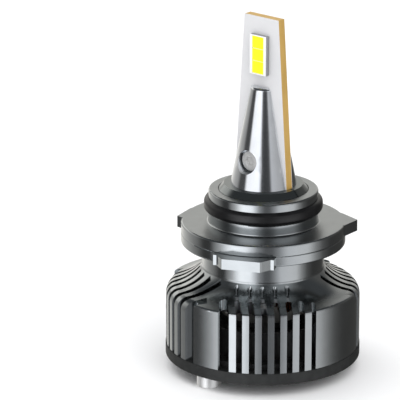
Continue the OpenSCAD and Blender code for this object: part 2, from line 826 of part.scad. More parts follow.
module stator_coils() {
    inner = core_hub_r + loose_gap;
    depth = sqrt((stator_r - shoe_t) ^ 2 - (pole_w / 2 + coil_t) ^ 2) - loose_gap - inner;
    color("#b8682c") for (i = [0:pole_count - 1]) rotate([0, 0, i * 360 / pole_count])
        translate([inner, 0, stator_z + stator_h / 2]) difference() {
            translate([0, -pole_w / 2 - coil_t, -stator_h / 2 - coil_t])
                cube([depth, pole_w + 2 * coil_t, stator_h + 2 * coil_t]);
            translate([-over, -pole_w / 2 - seat_gap, -stator_h / 2 - seat_gap])
                cube([depth + 2 * over, pole_w + 2 * seat_gap, stator_h + 2 * seat_gap]);
        }
}

module fan_board() {
    color("#2f6b3c") translate([0, 0, fan_board_z]) tube(fan_board_r, bearing_boss_r + seat_gap, fan_board_t);
}

module fan_wires() {
    z0 = fan_board_z + fan_board_t;
    color("#a01818") for (s = [-1, 1]) translate([s * fan_wire_x, fan_wire_y, z0])
        cylinder(r = wire_r, h = driver_bottom - z0, $fn = 24);
}

// One blade: a bowed plate pitched about its radial line, rooted in the hub
module blade() {
    bow = 11;
    t = 0.8;
    chord = 8.4;
    root = fan_hub_r - 0.3;
    intersection() {
        translate([0, -root + over, (hub_bottom + hub_top) / 2 + 0.1]) rotate([0, -blade_pitch, 0])
            rotate([90, 0, 0]) linear_extrude(tip_r - root + 2 * over) intersection() {
                translate([0, -sqrt(bow ^ 2 - (chord / 2) ^ 2)]) difference() {
                    circle(bow);
                    circle(bow - t);
                }
                translate([-chord / 2, -t]) square([chord, 3]);
            }
        translate([0, 0, hub_bottom + 0.3]) tube(tip_r, root, hub_top - hub_bottom - 0.6);
    }
}

module fan_rotor() {
    color("#262628") {
        rotate_extrude() difference() {
            polygon([
                [0, hub_bottom], [fan_hub_r, hub_bottom], [fan_hub_r, hub_top],
                [fan_hub_r - hub_wall, hub_top], [fan_hub_r - hub_wall, cup_bottom], [0, cup_bottom]
            ]);
            corner_piece([fan_hub_r, hub_bottom], [-1, 0], [0, 1], 0.5);
        }
        for (i = [0:blade_count - 1]) at_angle(360 * i / blade_count) blade();
    }
}

module rotor_cup() {
    color("#9a9ea2") difference() {
        translate([0, 0, cup_bottom]) cylinder(r = cup_r, h = cup_top - cup_bottom);
        translate([0, 0, cup_bottom + cup_t]) cylinder(r = cup_r - cup_t, h = cup_top - cup_bottom);
        translate([0, 0, cup_bottom - over]) cylinder(r = shaft_r + seat_gap, h = 3, $fn = 32);
    }
}

module rotor_magnet() {
    color("#4a4a4e") translate([0, 0, magnet_bottom])
        tube(magnet_r, magnet_r - magnet_t, magnet_top - magnet_bottom);
}

module fan_shaft() {
    color("#c9ccd0") translate([0, 0, cup_bottom])
        cylinder(r = shaft_r, h = sleeve_top - cup_bottom - 0.2, $fn = 32);
}

// ---- Driver -----------------------------------------------------------------------------

module driver_board() {
    color("#2f6b3c") difference() {
        translate([0, 0, driver_bottom]) cylinder(r = driver_r, h = driver_t);
        board_screw_places() translate([0, 0, driver_bottom - over])
            cylinder(r = board_screw_r + loose_gap, h = driver_t + 2 * over, $fn = 24);
    }
}

module board_screws() {
    color("#b4b6b8") board_screw_places() translate([0, 0, driver_bottom - board_screw_head_h]) difference() {
        union() {
            cylinder(r = board_screw_head_r, h = board_screw_head_h, $fn = 32);
            cylinder(
                r = board_screw_r, $fn = 24,
                h = board_screw_head_h + driver_t + standoff_h + board_screw_up - 0.3
            );
        }
        for (a = [0, 90]) rotate([0, 0, a]) translate([0, 0, -over])
            linear_extrude(over + cross_h) square([cross_l, cross_w], center = true);
    }
}

module driver_chips() {
    color("#202022") {
        for (p = mosfet_at) chip(p, mosfet_size);
        chip(controller_at, controller_size);
    }
}

// A chip that lies flat against the driver board, centred at a point
module chip(at, size) {
    translate([at[0] - size[0] / 2, at[1] - size[1] / 2, driver_bottom - size[2]]) cube(size);
}

module driver_capacitors() {
    color("#c6c9cc") for (p = capacitor_at) translate([p[0], p[1], driver_bottom - capacitor_h])
        rotate_extrude() difference() {
            square([capacitor_r, capacitor_h]);
            corner_piece([capacitor_r, 0], [-1, 0], [0, 1], 0.4);
            translate([capacitor_r, capacitor_h - 0.8]) circle(0.2, $fn = 24);
        }
}

// A ring core with its winding, standing flat under the board
module driver_inductor() {
    h = 2.4;
    wind = 0.45;
    color("#8c5a2a") translate([inductor_at[0], inductor_at[1], driver_bottom - h - wind]) {
        tube(3.2, 1.7, h);
        for (i = [0:11]) rotate([0, 0, 30 * i]) translate([2.45, 0, h / 2]) rotate([90, 0, 0])
            translate([0, 0, -0.3]) linear_extrude(0.6) difference() {
                square([1.5 + 2 * wind, h + 2 * wind], center = true);
                square([1.4, h - 0.1], center = true);
            }
    }
}

heat_sink();
collar_flange();
base_ring();
o_ring();
collar_set_screw();
clamp_half_front();
clamp_half_rear();
clamp_screw();
board_core();
board_mask_front();
board_mask_rear();
led_package_front();
led_package_rear();
led_phosphors_front();
led_phosphors_rear();
rear_cover();
cover_screws();
fan_frame();
bearing_sleeve();
stator_core();
stator_coils();
fan_board();
fan_wires();
fan_rotor();
rotor_cup();
rotor_magnet();
fan_shaft();
driver_board();
board_screws();
driver_chips();
driver_capacitors();
driver_inductor();
lead_wires();
cable_grommet();
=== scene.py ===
import json
import math

import bmesh
import bpy
from mathutils import Matrix, Vector


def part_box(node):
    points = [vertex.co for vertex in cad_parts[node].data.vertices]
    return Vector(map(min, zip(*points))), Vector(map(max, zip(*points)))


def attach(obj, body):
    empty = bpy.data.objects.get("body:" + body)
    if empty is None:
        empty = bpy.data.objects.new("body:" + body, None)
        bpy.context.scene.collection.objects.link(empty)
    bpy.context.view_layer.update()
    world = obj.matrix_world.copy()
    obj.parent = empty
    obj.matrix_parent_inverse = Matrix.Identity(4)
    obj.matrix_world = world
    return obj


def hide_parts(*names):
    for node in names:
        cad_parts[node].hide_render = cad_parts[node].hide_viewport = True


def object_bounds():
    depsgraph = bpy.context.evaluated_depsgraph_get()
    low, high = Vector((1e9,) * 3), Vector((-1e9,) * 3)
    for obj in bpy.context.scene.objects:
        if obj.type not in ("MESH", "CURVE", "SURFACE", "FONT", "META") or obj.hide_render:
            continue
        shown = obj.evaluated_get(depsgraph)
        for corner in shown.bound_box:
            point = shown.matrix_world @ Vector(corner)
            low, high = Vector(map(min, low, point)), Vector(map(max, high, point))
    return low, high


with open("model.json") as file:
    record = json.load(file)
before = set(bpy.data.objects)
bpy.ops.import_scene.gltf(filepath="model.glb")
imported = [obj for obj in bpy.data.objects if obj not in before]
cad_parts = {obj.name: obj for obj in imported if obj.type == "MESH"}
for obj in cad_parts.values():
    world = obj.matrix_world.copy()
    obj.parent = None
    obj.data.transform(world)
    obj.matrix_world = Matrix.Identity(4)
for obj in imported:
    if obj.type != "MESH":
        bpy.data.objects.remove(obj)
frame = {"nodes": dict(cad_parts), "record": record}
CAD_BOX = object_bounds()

bl_info = {
    "name": "Headlight bulb looks",
    "version": (1, 0, 0),
    "blender": (4, 5, 0),
    "location": "View3D > Sidebar > Bulb",
    "description": "Finishes, small pieces and studio of a plug-in LED headlight bulb",
    "category": "Object",
}

MM = 0.001
NODES = frame["nodes"]
SLOT_OF = {part["node"]: part["material_slot"] for part in frame["record"]["subparts"]}

# The skirt's greatest radius, and the height of the painted shade round the post's foot
SKIRT_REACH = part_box("rear_cover")[1].x
FOOT_RISE = 1.12 * MM
FOOT_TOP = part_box("collar_flange")[1].z + FOOT_RISE

# The stage's viewpoint: angles in degrees, distance in metres and the lens in millimetres
VIEW_TURN = 4.95
VIEW_RISE = 18.46
VIEW_DISTANCE = 0.6229
VIEW_ASIDE = 1.0615
VIEW_ABOVE = 0.325
LENS = 307.8


# ---- Shader maths -------------------------------------------------------------------------

REPEATS_BELOW = 1000    # keeps a repeating pattern going below zero
MIX_FIRST, MIX_SECOND, MIX_RESULT = 6, 7, 2    # the colour sockets of a Mix node


class Value:
    """A node's output socket. Arithmetic on it adds Math nodes to the same tree."""

    def __init__(self, sheet, socket):
        self.sheet = sheet
        self.socket = socket

    def _math(self, operation, *terms):
        return self.sheet.node("ShaderNodeMath", {"operation": operation}, dict(enumerate(terms)))

    def __add__(self, other):
        return self._math("ADD", self, other)

    def __radd__(self, other):
        return self._math("ADD", other, self)

    def __sub__(self, other):
        return self._math("SUBTRACT", self, other)

    def __rsub__(self, other):
        return self._math("SUBTRACT", other, self)

    def __mul__(self, other):
        return self._math("MULTIPLY", self, other)

    def __rmul__(self, other):
        return self._math("MULTIPLY", other, self)

    def __truediv__(self, other):
        return self._math("DIVIDE", self, other)

    def __rtruediv__(self, other):
        return self._math("DIVIDE", other, self)

    def __gt__(self, other):
        return self._math("GREATER_THAN", self, other)

    def __lt__(self, other):
        return self._math("LESS_THAN", self, other)

    def angle_to(self, other):
        """The angle of the point (other, self), in radians."""
        return self._math("ARCTAN2", self, other)

    def root(self):
        return self._math("SQRT", self)

    def distance_in(self, step):
        """How far along a repeat of length step this value is, from 0 to step."""
        return self._math("MODULO", self + REPEATS_BELOW * step, step)

    def ramp_up(self, low, high):
        """0 below low, 1 above high, and smooth between them."""
        kind = {"interpolation_type": "SMOOTHSTEP"}
        sockets = {"Value": self, "From Min": low, "From Max": high, "To Min": 0.0, "To Max": 1.0}
        return self.sheet.node("ShaderNodeMapRange", kind, sockets)


class Sheet:
    """A node tree under construction."""

    def __init__(self, tree):
        self.tree = tree
        tree.nodes.clear()

    def node(self, kind, settings=None, sockets=None, out=0):
        """Adds any node and returns its output out.

        Its settings are set first, then each socket's value or link. A colour ramp's stops are
        pairs of place and colour.
        """
        made = self.tree.nodes.new(kind)
        for name, value in (settings or {}).items():
            if name == "stops":
                self._stops(made.color_ramp, value)
            else:
                setattr(made, name, value)
        for name, value in (sockets or {}).items():
            target = made.inputs[name]
            if isinstance(value, Value):
                self.tree.links.new(value.socket, target)
            else:
                target.default_value = value
        return Value(self, made.outputs[out]) if len(made.outputs) else None

    @staticmethod
    def _stops(ramp, stops):
        while len(ramp.elements) < len(stops):
            ramp.elements.new(0.5)
        for element, (place, shade) in zip(ramp.elements, stops):
            element.position = place
            element.color = colour(shade)

    def split(self, coordinates):
        """The x, y and z of one of the Texture Coordinate node's outputs."""
        whole = self.node("ShaderNodeTexCoord", out=coordinates)
        parts = self.tree.nodes.new("ShaderNodeSeparateXYZ")
        self.tree.links.new(whole.socket, parts.inputs[0])
        return [Value(self, part) for part in parts.outputs]

    def place(self):
        """The surface point in the object's own frame, as x, y and z in metres."""
        return self.split("Object")

    def facing(self):
        """The surface normal in the object's own frame, as x, y and z."""
        return self.split("Normal")

    def grain(self, scale, detail=3.0, roughness=0.55, stretch=(1, 1, 1)):
        """Noise from 0 to 1 with about scale cells a metre, stretched along the axes."""
        point = self.node("ShaderNodeTexCoord", out="Object")
        mapped = self.node("ShaderNodeMapping", None, {"Vector": point, "Scale": stretch})
        sockets = {"Vector": mapped, "Scale": scale, "Detail": detail, "Roughness": roughness}
        return self.node("ShaderNodeTexNoise", None, sockets)

    def blend(self, factor, first, second):
        """A colour between first and second."""
        sockets = {"Factor": factor, MIX_FIRST: colour(first), MIX_SECOND: colour(second)}
        return self.node("ShaderNodeMix", {"data_type": "RGBA"}, sockets, MIX_RESULT)

    def bump(self, height, depth):
        """A normal from a height of 0 to 1 that stands for depth metres."""
        return self.node("ShaderNodeBump", None, {"Height": height, "Distance": depth, "Strength": 1.0})


def colour(value):
    """Lets a plain colour or a link be given alike."""
    return value if isinstance(value, Value) else (*value, 1.0)


def surface(name, base, roughness, metallic=0.0, normal=None, **constants):
    """Opens a material called name: base, roughness and normal are functions of its sheet."""
    material = bpy.data.materials.new(name)
    material.use_nodes = True
    sheet = Sheet(material.node_tree)
    sockets = {"Base Color": colour(base(sheet)), "Roughness": roughness(sheet), "Metallic": metallic}
    if normal:
        sockets["Normal"] = normal(sheet)
    sockets.update({key.replace("_", " "): value for key, value in constants.items()})
    shader = sheet.node("ShaderNodeBsdfPrincipled", None, sockets)
    sheet.node("ShaderNodeOutputMaterial", None, {"Surface": shader})
    return material


# ---- Finishes -----------------------------------------------------------------------------
# A grain is given as (cells a metre, detail, roughness, stretch along x, y and z). What is left
# out takes the defaults of Sheet.grain.

FOOT_EDGE = 0.02 * MM               # half the width of the edge of the painted shade at the post's foot
SKIRT_EDGE = (0.6 * MM, 0.3 * MM)   # the skirt's finish starts and is full this far inside its side
LEVEL = (0.9, 0.98)                 # a face starts and is fully level at this upward part of its normal
LAMINATION = 0.35 * MM              # one sheet of the stator's steel with its gap
LAMINATION_STEEL = 0.28 * MM        # the steel in it


def plated(name, shade, polish, flat=0.0, skirt=0.0, foot=None):
    """Bright plating with faint clouds in its colour.

    flat and skirt are the roughness added on level faces and on the skirt's sides. The last
    argument is a painted shade: the darker colour of the post's foot, next to the collar.
    """
    def base(sheet):
        darker = tuple(0.95 * part for part in shade)
        clouds = sheet.blend(sheet.grain(300, 2.0).ramp_up(0.3, 0.7), darker, shade)
        # Painted shade: the post turns darker below FOOT_TOP, next to the collar
        if foot is None:
            return clouds
        height = sheet.place()[2]
        return sheet.blend(height.ramp_up(FOOT_TOP - FOOT_EDGE, FOOT_TOP + FOOT_EDGE), foot, clouds)

    def roughness(sheet):
        x, y, z = sheet.place()
        level = sheet.facing()[2].ramp_up(*LEVEL)
        far_out = (x * x + y * y).root().ramp_up(*(SKIRT_REACH - edge for edge in SKIRT_EDGE))
        return polish + level * flat + far_out * skirt + 0.04 * sheet.grain(900, 3.0, 0.6, (1, 1, 2.5))

    def normal(sheet):
        return sheet.bump(sheet.grain(2500, 2.0, 0.5), 0.0003 * MM)

    return surface(name, base, roughness, 1.0, normal)


def moulded(name, shade, polish, pit):
    """Moulded plastic or rubber with an even spark-eroded grain of pit metres."""
    def base(sheet):
        lighter = tuple(1.25 * part + 0.002 for part in shade)
        return sheet.blend(sheet.grain(700, 2.0).ramp_up(0.35, 0.65), shade, lighter)

    def roughness(sheet):
        return polish - 0.08 + 0.16 * sheet.grain(2400, 2.0)

    def normal(sheet):
        return sheet.bump(sheet.grain(5200, 2.0, 0.6), pit)

    return surface(name, base, roughness, 0.0, normal)


def grained(name, dark, light, clouds, polish, spread, fine, metal=0.0, pits=None, depth=0.0, **constants):
    """An even finish: colour between dark and light, and roughness from polish up by spread.

    clouds, fine and pits are the grains of its colour, its roughness and its bumps, which are
    depth metres deep.
    """
    return surface(
        name,
        lambda sheet: sheet.blend(sheet.grain(*clouds), dark, light),
        lambda sheet: polish + spread * sheet.grain(*fine),
        metal,
        pits and (lambda sheet: sheet.bump(sheet.grain(*pits), depth)),
        **constants,
    )


def turned_steel(name, shade, polish, metal=1.0):
    """Plated steel with fine lines from turning."""
    return grained(
        name, dark=tuple(0.8 * part for part in shade), light=shade, clouds=(1500, 2.0, 0.5, (1, 1, 0.3)),
        polish=polish, spread=0.1, fine=(3000, 2.0), metal=metal,
        pits=(6000, 2.0, 0.5, (0.3, 0.3, 3)), depth=0.004 * MM,
    )


def laminated(name):
    """A stack of steel sheets, with a dark gap after each."""
    return surface(
        name,
        lambda sheet: sheet.blend(
            sheet.place()[2].distance_in(LAMINATION) > LAMINATION_STEEL, (0.42, 0.43, 0.45), (0.1, 0.1, 0.11),
        ),
        lambda sheet: 0.35 + 0.1 * sheet.grain(2000), 0.9,
    )


def soldered_board(name):
    """Green solder mask, raised over its copper areas."""
    def copper(sheet):
        return sheet.grain(520, 1.0).ramp_up(0.48, 0.52)

    return surface(
        name,
        lambda sheet: sheet.blend(copper(sheet), (0.004, 0.012, 0.006), (0.007, 0.02, 0.01)),
        lambda sheet: 0.3 + 0.1 * sheet.grain(1200), 0.0,
        lambda sheet: sheet.bump(copper(sheet), 0.02 * MM),
    )


def finishes(look):
    """All materials: one for each of the record's slots, and led_frame for the LED packages' rims."""
    recipes = {
        "gunmetal": (plated, dict(
            shade=tuple(look.gunmetal), polish=look.gunmetal_polish,
            flat=look.flat_satin, skirt=look.skirt_satin,
        )),
        # The post's foot is given a painted shade
        "post_metal": (plated, dict(
            shade=tuple(look.post_metal), polish=look.post_polish,
            flat=look.flat_satin, foot=tuple(look.post_foot_shade),
        )),
        "seal_rubber": (moulded, dict(shade=(0.004, 0.004, 0.0045), polish=0.34, pit=0.004 * MM)),
        "grommet_rubber": (moulded, dict(shade=(0.014, 0.014, 0.015), polish=0.55, pit=0.01 * MM)),
        "cover_plastic": (moulded, dict(shade=tuple(look.cover_plastic), polish=0.62, pit=0.014 * MM)),
        "fan_plastic": (moulded, dict(shade=tuple(look.fan_plastic), polish=0.42, pit=0.012 * MM)),
        "chip_plastic": (moulded, dict(shade=(0.012, 0.012, 0.012), polish=0.5, pit=0.006 * MM)),
        "magnet": (moulded, dict(shade=(0.05, 0.05, 0.055), polish=0.6, pit=0.012 * MM)),
        "steel": (turned_steel, dict(shade=(0.84, 0.84, 0.83), polish=0.3, metal=0.55)),
        "black_steel": (turned_steel, dict(shade=(0.05, 0.05, 0.055), polish=0.35)),
        "can": (turned_steel, dict(shade=(0.75, 0.76, 0.78), polish=0.25)),
        "bronze": (turned_steel, dict(shade=(0.55, 0.36, 0.17), polish=0.4)),
        "copper_core": (grained, dict(
            dark=(0.46, 0.28, 0.07), light=(0.66, 0.43, 0.13), clouds=(900, 3.0, 0.6, (1, 1, 0.15)),
            polish=0.4, spread=0.12, fine=(2000, 2.0), metal=0.25,
            pits=(4000, 2.0, 0.5, (1, 1, 0.1)), depth=0.006 * MM,
        )),
        "white_mask": (grained, dict(
            dark=(0.68, 0.68, 0.69), light=(0.73, 0.73, 0.74), clouds=(350, 2.0),
            polish=0.3, spread=0.1, fine=(900, 2.0), pits=(2600, 2.0), depth=0.003 * MM,
        )),
        # led_ceramic's grey is painted shade for the LED packages' sideways faces
        "led_ceramic": (grained, dict(
            dark=(0.22, 0.22, 0.225), light=(0.26, 0.26, 0.265), clouds=(1600, 2.0),
            polish=0.5, spread=0.1, fine=(4000, 2.0), pits=(9000, 2.0), depth=0.003 * MM,
        )),
        "led_frame": (grained, dict(
            dark=(0.88, 0.88, 0.88), light=(0.93, 0.93, 0.93), clouds=(1600, 2.0),
            polish=0.4, spread=0.1, fine=(4000, 2.0), pits=(9000, 2.0), depth=0.002 * MM,
        )),
        "phosphor": (grained, dict(
            dark=(0.95, 0.9, 0.01), light=(1.0, 0.98, 0.03), clouds=(3000, 2.0),
            polish=0.5, spread=0.1, fine=(3000, 2.0),
            # The faint emission is a painted glow that makes the phosphor tiles brighter than their lighting
            Emission_Color=(1.0, 0.97, 0.005, 1.0), Emission_Strength=0.4, Specular_IOR_Level=0.15,
        )),
        "stator_steel": (laminated, {}),
        "winding": (grained, dict(
            dark=(0.07, 0.025, 0.01), light=(0.14, 0.05, 0.02), clouds=(1200, 2.0),
            polish=0.25, spread=0.1, fine=(3000,), metal=0.85,
            pits=(3000, 2.0, 0.5, (1, 1, 4)), depth=0.01 * MM,
        )),
        "circuit_board": (soldered_board, {}),
        "wire_red": (grained, dict(
            dark=(0.42, 0.015, 0.012), light=(0.52, 0.03, 0.02), clouds=(1500,),
            polish=0.35, spread=0.1, fine=(3000,), pits=(5000,), depth=0.005 * MM,
        )),
    }
    return {slot: maker(slot, **settings) for slot, (maker, settings) in recipes.items()}


# Filled by the finish operator, which runs before any piece is built
FINISHES = {}


# ---- Settings -----------------------------------------------------------------------------

def tint(name, description, default):
    return bpy.props.FloatVectorProperty(
        name=name, description=description, default=default, size=3, min=0, max=1, subtype="COLOR",
    )


def share(name, description, default, low=0.0, high=1.0):
    return bpy.props.FloatProperty(
        name=name, description=description, default=default, min=low, max=high, subtype="FACTOR",
    )


def length(name, description, default, low=0.0):
    return bpy.props.FloatProperty(
        name=name, description=description, default=default, min=low, unit="LENGTH",
    )


class BulbFinish(bpy.types.PropertyGroup):
    """Colours and polish of the bulb."""
    gunmetal: tint("Gunmetal", "Plating of the heat sink and the collar", (0.46, 0.48, 0.485))
    gunmetal_polish: share("Gunmetal roughness", "Roughness of that plating", 0.12)
    flat_satin: share("Level faces", "Roughness added on level faces", 0.24)
    skirt_satin: share("Skirt", "Roughness added on the skirt's sides", 0.1)
    post_metal: tint("Post metal", "Plating of the lamp post", (0.8, 0.82, 0.84))
    # The post foot colour is a painted shade at the post's foot, not a plating of its own
    post_foot_shade: tint("Post foot", "Plating of the ring at the post's foot", (0.3, 0.32, 0.32))
    post_polish: share("Post roughness", "Roughness of the post's plating", 0.1)
    led_round: length("LED rounding", "Rounding of an LED package's edges", 0.12 * MM)
    socket_share: share("Socket", "Width of a screw's hexagon socket over its head's", 0.4, 0.2, 0.7)
    cover_plastic: tint("Cover plastic", "Rear cover", (0.014, 0.015, 0.0145))
    fan_plastic: tint("Fan plastic", "Fan and its frame", (0.018, 0.018, 0.018))


class BulbStage(bpy.types.PropertyGroup):
    """The studio round the bulb."""
    floor: tint("Floor", "Paint of the floor", (0.9, 0.9, 0.9))
    floor_size: length("Floor size", "Half the floor's width", 3.0, 0.5)


# ---- Mesh tools ---------------------------------------------------------------------------

SHARP_ANGLE = 35    # degrees between two faces whose edge stays sharp
UP = Vector((0, 0, 1))


def add_piece(name, looks, shape, replaced):
    """Makes a piece on the housing from a bmesh, and hides the CAD node that it stands for."""
    mesh = bpy.data.meshes.new(name)
    bmesh.ops.recalc_face_normals(shape, faces=shape.faces)
    shape.to_mesh(mesh)
    shape.free()
    for face in mesh.polygons:
        face.use_smooth = True
    mesh.set_sharp_from_angle(angle=math.radians(SHARP_ANGLE))
    for finish in looks:
        mesh.materials.append(FINISHES[finish])
    piece = bpy.data.objects.new(name, mesh)
    bpy.context.scene.collection.objects.link(piece)
    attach(piece, "housing")
    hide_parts(replaced)
    return piece


def rounded_block(shape, size, centre, round_off, steps=3):
    """Adds a box with rounded edges."""
    block = bmesh.ops.create_cube(shape, size=1.0)["verts"]
    bmesh.ops.scale(shape, vec=size, verts=block)
    bmesh.ops.translate(shape, vec=centre, verts=block)
    corners = set(block)
    edges = [edge for edge in shape.edges if edge.verts[0] in corners]
    bmesh.ops.bevel(shape, geom=edges, offset=round_off, segments=steps, profile=0.5, affect="EDGES")


def lathe(shape, rings, where, turns=48):
    """Adds rings of (radius, height) turned round Z and placed by where.

    A radius may be a function of the angle.
    """
    loops = []
    for radius, height in rings:
        loop = []
        for i in range(turns):
            angle = 2 * math.pi * i / turns
            reach = radius(angle) if callable(radius) else radius
            point = Vector((reach * math.cos(angle), reach * math.sin(angle), height))
            loop.append(shape.verts.new(where @ point))
        loops.append(loop)
    for first, second in zip(loops, loops[1:]):
        for i in range(turns):
            j = (i + 1) % turns
            shape.faces.new((first[i], first[j], second[j], second[i]))
    shape.faces.new(loops[0])
    shape.faces.new(loops[-1])


def hexagon(across):
    """The reach of a hexagon of that width across its flats, as a function of the angle."""
    return lambda angle: across / 2 / math.cos((angle % (math.pi / 3)) - math.pi / 6)


RIM_SHARE = 0.95           # a point is on a screw's head from this share of the head's radius
SHANK_SLICE = 0.05 * MM    # the slice at a screw's end that gives its shank's radius
SOCKET_SHARE = 0.5         # depth of a socket over the height of its head
ROUND_STEPS = 5


def socket_screw(name, points, out, socket, round_off, replaced):
    """Makes a socket-head screw over the points of a plain one. Its head faces out."""
    turn = out.to_track_quat("Z", "Y").to_matrix()
    local = [turn.transposed() @ point for point in points]
    middle = [(min(p[i] for p in local) + max(p[i] for p in local)) / 2 for i in (0, 1)]
    reach = [(math.hypot(p.x - middle[0], p.y - middle[1]), p.z) for p in local]
    head = max(r for r, z in reach)
    top, end = max(z for r, z in reach), min(z for r, z in reach)
    under = min(z for r, z in reach if r > RIM_SHARE * head)
    shank = max(r for r, z in reach if z < end + SHANK_SLICE)
    flats = hexagon(2 * head * socket)
    floor = top - SOCKET_SHARE * (top - under)
    rings = [
        (flats, floor),
        (flats, top - round_off / 2),
        (lambda angle: flats(angle) + round_off / 2, top),
    ]
    for i in range(ROUND_STEPS + 1):
        angle = math.pi / 2 * i / ROUND_STEPS
        rings.append((head - round_off * (1 - math.sin(angle)), top - round_off * (1 - math.cos(angle))))
    rings += [(head, under), (shank, under), (shank, end)]
    shape = bmesh.new()
    lathe(shape, rings, turn.to_4x4() @ Matrix.Translation((*middle, 0)))
    add_piece(name, ["steel"], shape, replaced)


def face_axes(node):
    """The board face that a node lies on: its outward direction and its sideways direction."""
    low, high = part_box(node)
    outward = Vector(((low.x + high.x) / 2, (low.y + high.y) / 2, 0)).normalized()
    return outward, UP.cross(outward)


def across_face(node, along):
    """How far a node reaches along a level direction, as its least and greatest distance."""
    reach = [vert.co.dot(along) for vert in NODES[node].data.vertices]
    return min(reach), max(reach)


def points_of(node):
    return [vert.co.copy() for vert in NODES[node].data.vertices]


# ---- Operators for the bulb -----------------------------------------------------------------

class BULB_OT_finish(bpy.types.Operator):
    """Gives every CAD node its finish"""
    bl_idname = "bulb.finish"
    bl_label = "Finish all pieces"

    def execute(self, context):
        FINISHES.update(finishes(context.scene.bulb_finish))
        for name, node in NODES.items():
            node.data.materials.clear()
            node.data.materials.append(FINISHES[SLOT_OF[name]])
        return {"FINISHED"}


# An LED package, as shares of its thickness from the board outwards
BODY_SHARE = 0.86     # top of the ceramic body
RIM_FROM = 0.8        # foot of the white rim, which reaches to the top
WHITE_FACING = 0.6      # a face is white where its normal points outwards by more than this, and grey elsewhere as painted shade

RIM_ROUND = 0.06 * MM
RIM_GAP = 0.03 * MM        # between the rim and the tiles
RIM_OVERLAP = 0.1 * MM     # of the rim's level bars into its upright ones
TILE_COUNT = 3
TILE_GAP = 0.1 * MM
TILE_THICK = 0.22 * MM
TILE_SINK = 0.03 * MM      # of the tiles' tops below the rim
TILE_ROUND = 0.08 * MM


class BULB_OT_led(bpy.types.Operator):
    """Builds the two LED packages: a body, its rim and the phosphor tiles. Sideways faces are grey as painted
    shade, outward faces white
    """
    bl_idname = "bulb.led"
    bl_label = "Build the LED packages"

    def execute(self, context):
        look = context.scene.bulb_finish
        for side in ("front", "rear"):
            body, tiles = "led_package_" + side, "led_phosphors_" + side
            outward, along = face_axes(body)
            turn = Matrix((along, UP, outward)).transposed().to_4x4()
            left, right = across_face(body, along)
            near, far = across_face(body, outward)
            low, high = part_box(body)
            thick = far - near
            size = (right - left, high.z - low.z)
            middle = ((left + right) / 2, (low.z + high.z) / 2)
            body_thick = BODY_SHARE * thick
            shape = bmesh.new()
            rounded_block(shape, (*size, body_thick), (*middle, near + body_thick / 2), look.led_round)
            self.rim(shape, tiles, along, size, middle, (near + RIM_FROM * thick, far))
            bmesh.ops.transform(shape, matrix=turn, verts=shape.verts)
            piece = add_piece("led_body_" + side, ["led_ceramic", "led_frame"], shape, body)
            # Painted shade: faces that turn sideways take the grey led_ceramic finish, faces that face
            # outwards the white led_frame
            for face in piece.data.polygons:
                face.material_index = int(face.normal.dot(outward) > WHITE_FACING)
            self.tiles(side, tiles, along, turn, far)
        return {"FINISHED"}

    @staticmethod
    def rim(shape, tiles, along, size, middle, reach):
        """Adds four bars round the tiles, from the first depth in reach to the second."""
        left, right = across_face(tiles, along)
        low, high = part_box(tiles)
        rise = reach[1] - reach[0]
        depth = reach[0] + rise / 2
        for sign, inner in ((-1, left - RIM_GAP), (1, right + RIM_GAP)):
            outer = middle[0] + sign * size[0] / 2
            bar = (abs(outer - inner), size[1], rise)
            rounded_block(shape, bar, ((outer + inner) / 2, middle[1], depth), RIM_ROUND)
        for sign, inner in ((-1, low.z - RIM_GAP), (1, high.z + RIM_GAP)):
            outer = middle[1] + sign * size[1] / 2
            bar = (right - left + RIM_OVERLAP, abs(outer - inner), rise)
            rounded_block(shape, bar, (middle[0], (outer + inner) / 2, depth), RIM_ROUND)

    @staticmethod
    def tiles(side, node, along, turn, far):
        """Makes the cushion-shaped phosphor tiles of one package."""
        left, right = across_face(node, along)
        low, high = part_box(node)
        tall = (high.z - low.z - (TILE_COUNT - 1) * TILE_GAP) / TILE_COUNT
        depth = far - TILE_SINK - TILE_THICK / 2
        shape = bmesh.new()
        for i in range(TILE_COUNT):
            centre = ((left + right) / 2, low.z + tall / 2 + i * (tall + TILE_GAP), depth)
            rounded_block(shape, (right - left, tall, TILE_THICK), centre, TILE_ROUND)
        bmesh.ops.transform(shape, matrix=turn, verts=shape.verts)
        add_piece("led_tiles_" + side, ["phosphor"], shape, node)


POST_SCREW_ROUND = 0.3 * MM
COVER_SCREW_ROUND = 0.35 * MM


class BULB_OT_screws(bpy.types.Operator):
    """Builds the post's screw and the two rear cover screws with rounded socket heads"""
    bl_idname = "bulb.screws"
    bl_label = "Build the screws"

    def execute(self, context):
        socket = context.scene.bulb_finish.socket_share
        outward = face_axes("led_package_front")[0]
        socket_screw("post_screw", points_of("clamp_screw"), outward, socket, POST_SCREW_ROUND, "clamp_screw")
        points = points_of("cover_screws")
        side = max(points, key=lambda point: point.xy.length).to_2d()
        for name, sign in (("cover_screw_a", 1), ("cover_screw_b", -1)):
            own = [point for point in points if sign * point.to_2d().dot(side) > 0]
            socket_screw(name, own, -UP, socket, COVER_SCREW_ROUND, "cover_screws")
        return {"FINISHED"}


# ---- Studio -------------------------------------------------------------------------------

